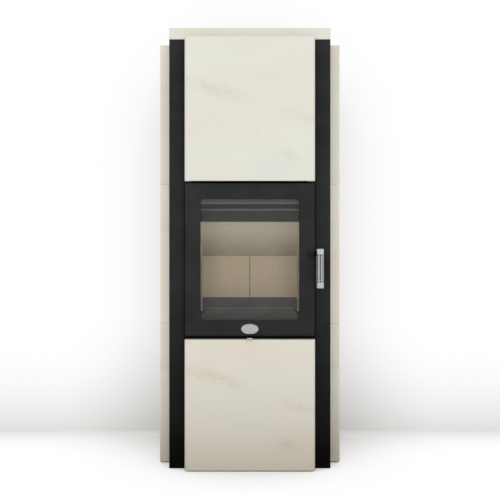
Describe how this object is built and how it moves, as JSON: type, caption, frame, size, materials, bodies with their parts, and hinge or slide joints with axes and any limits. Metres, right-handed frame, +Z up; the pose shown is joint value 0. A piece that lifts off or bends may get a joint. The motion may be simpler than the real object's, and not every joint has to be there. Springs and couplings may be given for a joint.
{
  "type": "tiled stove",
  "caption": "Tall stone-clad wood stove with black steel corner posts, a glazed fire door with a turning grip, a sliding air control, a lined firebox and a rear flue collar.",
  "frame": {"origin": "on the floor, at the centre of the whole part's footprint", "axes": "+X to the right seen from the front, +Y to the back, +Z up; the door faces -Y"},
  "size_m": [0.6, 0.544, 1.43],
  "materials": {
    "stone": "smooth honed natural stone with faint veins and specks",
    "black_paint": "fine matt black stove paint",
    "firebox_black": "matt black heat-proof paint, slightly greyed",
    "firebrick": "pressed vermiculite, matt and fine-grained",
    "cast_iron": "bare cast iron, dark and dry",
    "storage_block": "rough cast heat-storage concrete",
    "zinc_sheet": "zinc-coated sheet steel",
    "stainless": "brushed stainless steel",
    "rope": "braided glass-fibre rope, dark grey",
    "door_glass": "clear ceramic glass with a slight smoke tint"
  },
  "bodies": {
    "stove": {"top_slab": "stone", "upper_front_tile": "stone", "lower_front_tile": "stone", "side_tile_lower_left": "stone", "side_tile_lower_right": "stone", "side_tile_middle_left": "stone", "side_tile_middle_right": "stone", "side_tile_upper_left": "stone", "side_tile_upper_right": "stone", "base_plate": "black_paint", "post_left": "black_paint", "post_right": "black_paint", "side_panel_left": "black_paint", "side_panel_right": "black_paint", "rear_panel": "black_paint", "lower_tile_carrier": "black_paint", "upper_tile_carrier": "black_paint", "support_plate_left": "black_paint", "support_plate_right": "black_paint", "flue_collar": "black_paint", "face_frame": "firebox_black", "firebox_wall_left": "firebox_black", "firebox_wall_right": "firebox_black", "firebox_rear_wall": "firebox_black", "firebox_floor": "firebox_black", "firebox_bottom": "firebox_black", "firebox_top": "firebox_black", "airwash_duct": "firebox_black", "side_brick_left": "firebrick", "side_brick_right": "firebrick", "rear_brick_left": "firebrick", "rear_brick_right": "firebrick", "baffle_plate": "firebrick", "floor_brick_left": "firebrick", "floor_brick_right": "firebrick", "front_ramp": "cast_iron", "grate": "cast_iron", "log_guard": "cast_iron", "heat_block_left": "storage_block", "heat_block_right": "storage_block", "ash_pan": "zinc_sheet", "flue_duct": "zinc_sheet", "air_box": "zinc_sheet", "latch_keeper": "stainless"},
    "door": {"door_frame": "black_paint", "glass_seal": "rope", "door_glass": "door_glass", "door_inner_panel": "firebox_black", "door_gasket": "rope", "hinge_pin_upper": "stainless", "hinge_pin_lower": "stainless", "badge_plate": "stainless"},
    "handle": {"handle_arm": "black_paint", "grip_core": "stainless", "grip_end_upper": "stainless", "grip_sleeve": "stainless", "latch_tongue": "stainless"},
    "air_control": {"air_slide": "firebox_black", "air_knob": "stainless"}
  },
  "joints": [
    {"name": "door_hinge", "type": "hinge", "parent": "stove", "child": "door", "pos_m": [-0.2, -0.226, 0.6765], "axis": [0, 0, -1], "range_deg": [0, 100]},
    {"name": "latch_turn", "type": "hinge", "parent": "door", "child": "handle", "pos_m": [0.195, -0.258, 0.6945], "axis": [0, -1, 0], "range_deg": [0, 60]},
    {"name": "air_slide", "type": "slide", "parent": "stove", "child": "air_control", "axis": [0, -1, 0], "range_m": [0, 0.04]}
  ]
}
